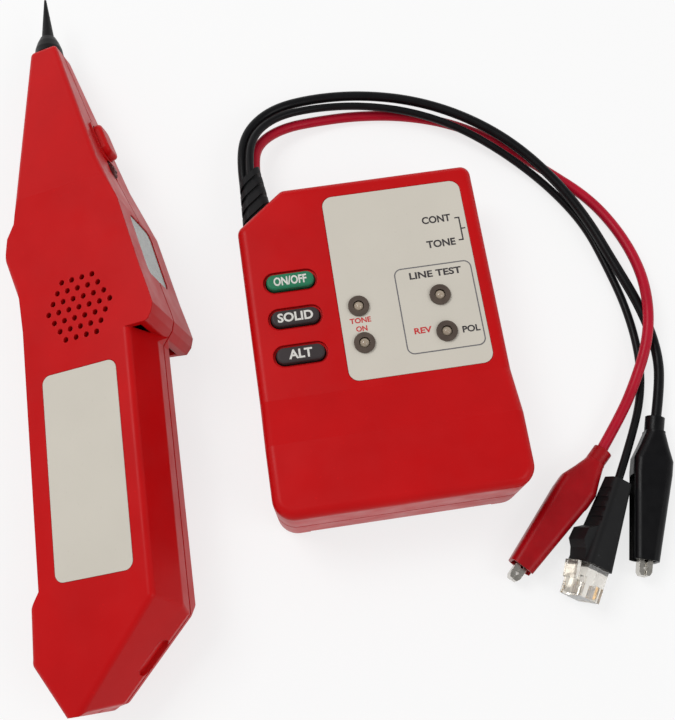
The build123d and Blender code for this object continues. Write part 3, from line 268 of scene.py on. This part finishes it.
SLOT_NODES = {
    "case_red": (
        "gen_battery_door", "gen_lower_shell", "gen_upper_shell", "probe_battery_door",
        "probe_lower_shell", "probe_trigger", "probe_upper_shell",
    ),
    "label_ivory": (
        "gen_control_label", "probe_sticker",
    ),
    "bezel_grey": (
        "gen_lamp_bezels",
    ),
    "lamp_lens": (
        "gen_lamps",
    ),
    "button_green": (
        "gen_button_on",
    ),
    "button_dark": (
        "gen_button_alt", "gen_button_solid", "gen_switch_knob",
    ),
    "inner_plastic": (
        "gen_battery_snap", "gen_board_parts", "gen_key_switches", "gen_switch_body",
        "probe_battery_snap", "probe_board_parts", "probe_speaker", "probe_trigger_switch",
        "probe_volume_pot",
    ),
    "circuit_board": (
        "gen_circuit_board", "probe_circuit_board",
    ),
    "battery_case": (
        "gen_battery", "probe_battery",
    ),
    "plated_metal": (
        "black_clip_fixed_jaw", "black_clip_moving_jaw", "black_clip_pin", "black_clip_spring",
        "gen_battery_terminals", "probe_battery_terminals", "probe_speaker_magnet",
        "red_clip_fixed_jaw", "red_clip_moving_jaw", "red_clip_pin", "red_clip_spring",
    ),
    "screw_steel": (
        "gen_shell_screws", "probe_screws",
    ),
    "black_rubber": (
        "gen_strain_relief", "plug_boot",
    ),
    "lead_red": (
        "lead_red",
    ),
    "lead_black": (
        "lead_black", "lead_plug",
    ),
    "clip_red": (
        "red_clip_boot",
    ),
    "clip_black": (
        "black_clip_boot",
    ),
    "clear_plastic": (
        "plug_body", "plug_latch",
    ),
    "gold_contact": (
        "plug_contacts",
    ),
    "tip_black": (
        "probe_collar", "probe_tip",
    ),
    # painted shade: the volume wheel is given the shaded red of the case
    "wheel_brown": (
        "probe_volume_wheel",
    ),
    "window_green": (
        "probe_window",
    ),
    "jack_black": (
        "probe_jack",
    ),
}
slot_of = {node: slot for slot, members in SLOT_NODES.items() for node in members}

for name, obj in nodes.items():
    slot = slot_of[name]
    count = len(obj.data.materials)
    for index in range(count):
        obj.data.materials[index] = finishes[slot]
    if not count:
        obj.data.materials.append(finishes[slot])
red_wire.data.materials.append(finishes["lead_red"])
black_wire.data.materials.append(finishes["lead_black"])
plug_wire.data.materials.append(finishes["lead_black"])


# Marks printed on the control label and on the buttons

GEN_X, GEN_Y = 33.958, -22.18
SUNK, PROUD = 0.00002, 0.00003
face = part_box("gen_control_label")[1].z


def on_label(x, y):
    """A point of the generator's own plan, in millimetres, in the row frame."""
    return ((GEN_X + x) / 1000, (GEN_Y + y) / 1000)


def keep(name, mesh, body, finish):
    mesh.materials.append(finishes[finish])
    obj = bpy.data.objects.new(name, mesh)
    scene.collection.objects.link(obj)
    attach(obj, body)
    return obj


def words(name, text, centre, width, height, top, body, finish):
    """Flat printed letters of that width and height, in metres, lying on a level face."""
    data = bpy.data.curves.new(name, "FONT")
    data.body = text
    data.size = 1.0
    data.resolution_u = 4
    data.offset = 0.03
    data.extrude = 0.02
    maker = bpy.data.objects.new(name + "_maker", data)
    scene.collection.objects.link(maker)
    bpy.context.view_layer.update()
    evaluated = maker.evaluated_get(bpy.context.evaluated_depsgraph_get())
    mesh = bpy.data.meshes.new_from_object(evaluated)
    bpy.data.objects.remove(maker, do_unlink=True)
    xs = [v.co.x for v in mesh.vertices]
    ys = [v.co.y for v in mesh.vertices]
    mid_x, mid_y = (min(xs) + max(xs)) / 2, (min(ys) + max(ys)) / 2
    sx, sy = width / (max(xs) - min(xs)), height / (max(ys) - min(ys))
    points = [
        (
            centre[0] + (v.co.x - mid_x) * sx,
            centre[1] + (v.co.y - mid_y) * sy,
            top + PROUD if v.co.z > 0 else top - SUNK,
        )
        for v in mesh.vertices
    ]
    letters = bpy.data.meshes.new(name)
    letters.from_pydata(points, [], [tuple(p.vertices) for p in mesh.polygons])
    bpy.data.meshes.remove(mesh)
    return keep(name, letters, body, finish)


def plate(name, outline, top, body, finish):
    """A flat printed shape with that outline, counter-clockwise, in metres."""
    n = len(outline)
    points = [(x, y, top + PROUD) for x, y in outline] + [(x, y, top - SUNK) for x, y in outline]
    faces = [tuple(range(n)), tuple(range(2 * n - 1, n - 1, -1))]
    faces += [(i, n + i, n + (i + 1) % n, (i + 1) % n) for i in range(n)]
    mesh = bpy.data.meshes.new(name)
    mesh.from_pydata(points, [], faces)
    return keep(name, mesh, body, finish)


def rounded(x0, y0, x1, y1, r, steps=8):
    points = []
    corners = ((x1 - r, y1 - r, 0), (x0 + r, y1 - r, 90), (x0 + r, y0 + r, 180), (x1 - r, y0 + r, 270))
    for cx, cy, start in corners:
        for i in range(steps + 1):
            a = math.radians(start + 90 * i / steps)
            points.append((cx + r * math.cos(a), cy + r * math.sin(a)))
    return points


def outline_box(name, x0, y0, x1, y1, r, line, top, body, finish):
    """A printed rounded box of one line width, given in millimetres on the label."""
    outer = [on_label(*p) for p in rounded(x0, y0, x1, y1, r)]
    inner = [on_label(*p) for p in rounded(x0 + line, y0 + line, x1 - line, y1 - line, r - line)]
    n = len(outer)
    loops = [(outer, top + PROUD), (inner, top + PROUD), (inner, top - SUNK), (outer, top - SUNK)]
    points = [(x, y, z) for loop, z in loops for x, y in loop]
    faces = []
    for i in range(n):
        j = (i + 1) % n
        for k in range(4):
            a, b = k * n, (k + 1) % 4 * n
            faces.append((a + i, a + j, b + j, b + i))
    mesh = bpy.data.meshes.new(name)
    mesh.from_pydata(points, [], faces)
    return keep(name, mesh, body, finish)


LABEL_WORDS = [
    ("word_cont", "CONT", (22.4, 32.2), 8.4, 2.3, "ink_dark"),
    ("word_tone", "TONE", (22.5, 24.6), 8.4, 2.3, "ink_dark"),
    ("words_line_test", "LINE TEST", (19.2, 15.7), 15.0, 2.1, "ink_dark"),
    ("word_rev", "REV", (12.8, -0.8), 5.0, 1.8, "ink_red"),
    ("word_pol", "POL", (26.3, -2.2), 5.0, 2.0, "ink_dark"),
    ("word_tone_lamp", "TONE", (-4.15, 4.7), 6.0, 1.6, "ink_red"),
    ("word_on_lamp", "ON", (-4.15, 2.2), 3.2, 1.6, "ink_red"),
]
for name, text, place, width, height, ink in LABEL_WORDS:
    words(name, text, on_label(*place), width / 1000, height / 1000, face, "generator", ink)
outline_box("lamp_group_box", 7.4, -7.5, 29.8, 18.4, 2.2, 0.35, face, "generator", "ink_grey")

line, stem_x, reach = 0.4, 29.0, 1.3
low_y, mid_y, high_y = 24.6, 28.3, 32.0
bracket = [
    (stem_x - reach, low_y), (stem_x + line / 2, low_y), (stem_x + line / 2, mid_y - line / 2),
    (stem_x + reach, mid_y - line / 2), (stem_x + reach, mid_y + line / 2),
    (stem_x + line / 2, mid_y + line / 2), (stem_x + line / 2, high_y),
    (stem_x - reach, high_y), (stem_x - reach, high_y - line),
    (stem_x - line / 2, high_y - line), (stem_x - line / 2, low_y + line),
    (stem_x - reach, low_y + line),
]
plate("switch_bracket", [on_label(*p) for p in bracket], face, "generator", "ink_dark")

BUTTON_WORDS = [
    ("word_on_off", "ON/OFF", "gen_button_on", "button_on", 0.62, 0.42),
    ("word_solid", "SOLID", "gen_button_solid", "button_solid", 0.66, 0.44),
    ("word_alt", "ALT", "gen_button_alt", "button_alt", 0.44, 0.44),
]
for name, text, node, body, wide, tall in BUTTON_WORDS:
    low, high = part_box(node)
    centre = ((low.x + high.x) / 2, (low.y + high.y) / 2)
    width, height = (high.x - low.x) * wide, (high.y - low.y) * tall
    words(name, text, centre, width, height, high.z, body, "ink_pale")


# Floor, lamps and surroundings

def seen_rays(tree):
    rays = tree.nodes.new("ShaderNodeLightPath")
    direct = math_node(
        tree, "MAXIMUM", rays.outputs["Is Camera Ray"], rays.outputs["Is Glossy Ray"]
    )
    return math_node(tree, "MAXIMUM", direct, rays.outputs["Is Transmission Ray"])


def floor_plane(half, height):
    mesh = bpy.data.meshes.new("floor")
    corners = [(-half, -half, height), (half, -half, height), (half, half, height), (-half, half, height)]
    mesh.from_pydata(corners, [], [(0, 1, 2, 3)])
    obj = bpy.data.objects.new("floor", mesh)
    scene.collection.objects.link(obj)
    finish = bpy.data.materials.new("floor")
    finish.use_nodes = True
    tree = finish.node_tree
    tree.nodes.clear()
    paper = tree.nodes.new("ShaderNodeBsdfDiffuse")
    paper.inputs["Color"].default_value = (0.9, 0.9, 0.9, 1.0)
    glow = tree.nodes.new("ShaderNodeEmission")
    glow.inputs["Strength"].default_value = 1.0
    both = tree.nodes.new("ShaderNodeMixShader")
    reach = tree.nodes.new("ShaderNodeVectorMath")
    reach.operation = "LENGTH"
    tree.links.new(tree.nodes.new("ShaderNodeTexCoord").outputs["Object"], reach.inputs[0])
    fade = tree.nodes.new("ShaderNodeMapRange")
    for index, value in ((1, 0.2), (2, 0.8), (3, 0.74), (4, 1.0)):
        fade.inputs[index].default_value = value
    tree.links.new(reach.outputs["Value"], fade.inputs[0])
    share = math_node(tree, "MULTIPLY", seen_rays(tree), fade.outputs[0])
    tree.links.new(share, both.inputs[0])
    tree.links.new(paper.outputs[0], both.inputs[1])
    tree.links.new(glow.outputs[0], both.inputs[2])
    below = tree.nodes.new("ShaderNodeBsdfTransparent")
    sides = tree.nodes.new("ShaderNodeMixShader")
    back = tree.nodes.new("ShaderNodeNewGeometry").outputs["Backfacing"]
    tree.links.new(back, sides.inputs[0])
    tree.links.new(both.outputs[0], sides.inputs[1])
    tree.links.new(below.outputs[0], sides.inputs[2])
    output = tree.nodes.new("ShaderNodeOutputMaterial")
    tree.links.new(sides.outputs[0], output.inputs["Surface"])
    mesh.materials.append(finish)
    return obj


def lamp(name, place, target, size, power):
    data = bpy.data.lights.new(name, "AREA")
    data.size = size
    data.energy = power
    obj = bpy.data.objects.new(name, data)
    obj.location = place
    obj.rotation_euler = (Vector(target) - Vector(place)).to_track_quat("-Z", "Y").to_euler()
    scene.collection.objects.link(obj)
    return obj


FLOOR_HALF, FLOOR_Z = 8.0, -0.0001
LAMP_TARGET, LAMP_SIZE = (0.02, -0.02, 0.01), 0.5
KEY_WATTS, SIDE_WATTS = 5.0, 2.0
SOFT_STRENGTH = 0.5
floor_plane(FLOOR_HALF, FLOOR_Z)
lamp("key_lamp", (-0.45, 0.35, 0.95), LAMP_TARGET, LAMP_SIZE, KEY_WATTS)
lamp("side_lamp", (0.65, -0.45, 0.75), LAMP_TARGET, LAMP_SIZE, SIDE_WATTS)

world = bpy.data.worlds.new("studio")
scene.world = world
world.use_nodes = True
sky = world.node_tree
sky.nodes.clear()
soft = sky.nodes.new("ShaderNodeBackground")
soft.inputs["Color"].default_value = (1.0, 1.0, 1.0, 1.0)
soft.inputs["Strength"].default_value = SOFT_STRENGTH
seen = sky.nodes.new("ShaderNodeBackground")
seen.inputs["Color"].default_value = (1.0, 1.0, 1.0, 1.0)
heading = sky.nodes.new("ShaderNodeSeparateXYZ")
sky.links.new(sky.nodes.new("ShaderNodeTexCoord").outputs["Generated"], heading.inputs[0])
ceiling = sky.nodes.new("ShaderNodeMapRange")
for index, value in ((1, 0.2), (2, 0.75), (3, 1.0), (4, 0.3)):
    ceiling.inputs[index].default_value = value
sky.links.new(heading.outputs[2], ceiling.inputs[0])
sky.links.new(ceiling.outputs[0], seen.inputs["Strength"])
choice = sky.nodes.new("ShaderNodeMixShader")
sky.links.new(seen_rays(sky), choice.inputs[0])
sky.links.new(soft.outputs[0], choice.inputs[1])
sky.links.new(seen.outputs[0], choice.inputs[2])
sky_output = sky.nodes.new("ShaderNodeOutputWorld")
sky.links.new(choice.outputs[0], sky_output.inputs["Surface"])

scene.view_settings.view_transform = "Standard"
